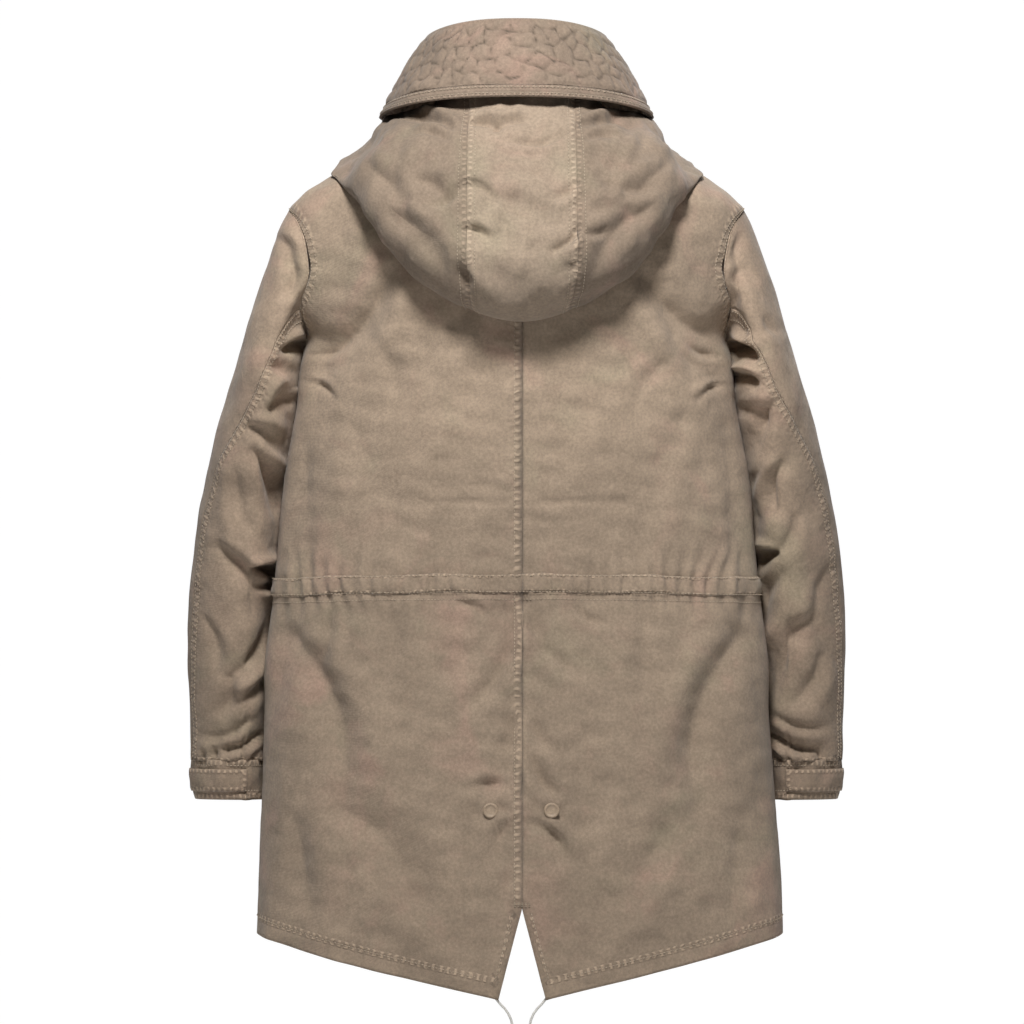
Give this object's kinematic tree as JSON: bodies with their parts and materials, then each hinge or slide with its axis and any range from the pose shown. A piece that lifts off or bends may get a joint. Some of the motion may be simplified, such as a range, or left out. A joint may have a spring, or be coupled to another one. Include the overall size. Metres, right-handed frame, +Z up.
{
  "type": "fishtail parka",
  "caption": "Washed cotton fishtail parka, filled as worn and empty: quilted fold-over collar, hood lying on the back, two-piece sleeves, waist channel, split tail with hem cord ends",
  "frame": {"origin": "middle of the neck opening, level with the meeting of shoulder seam and neck seam", "axes": "+Z up, -Y towards the wearer's front, +X towards the wearer's left"},
  "size_m": [0.662, 0.3345, 1.0633],
  "materials": {
    "cloth": "matt washed cotton",
    "double_cloth": "matt washed cotton, doubled",
    "snap_cap": "matt, cloth coloured",
    "cord": "matt braid"
  },
  "bodies": {
    "root": {"back_left": "cloth", "back_right": "cloth", "collar_edge_strip": "double_cloth", "collar_fall": "double_cloth", "collar_stand": "double_cloth", "cuff_left": "double_cloth", "cuff_right": "double_cloth", "cuff_tab_left": "double_cloth", "cuff_tab_right": "double_cloth", "drawcord_knot_left": "cord", "drawcord_knot_right": "cord", "drawcord_left": "cord", "drawcord_right": "cord", "front_left": "cloth", "front_placket": "double_cloth", "front_right": "cloth", "front_snap_1": "snap_cap", "front_snap_2": "snap_cap", "front_snap_3": "snap_cap", "front_snap_4": "snap_cap", "front_snap_5": "snap_cap", "hood_centre": "cloth", "hood_left": "cloth", "hood_right": "cloth", "sleeve_top_left": "cloth", "sleeve_top_right": "cloth", "sleeve_under_left": "cloth", "sleeve_under_right": "cloth", "tail_snap_left": "snap_cap", "tail_snap_right": "snap_cap", "waist_channel_back_left": "cloth", "waist_channel_back_right": "cloth", "waist_channel_front_left": "cloth", "waist_channel_front_right": "cloth"}
  },
  "joints": []
}
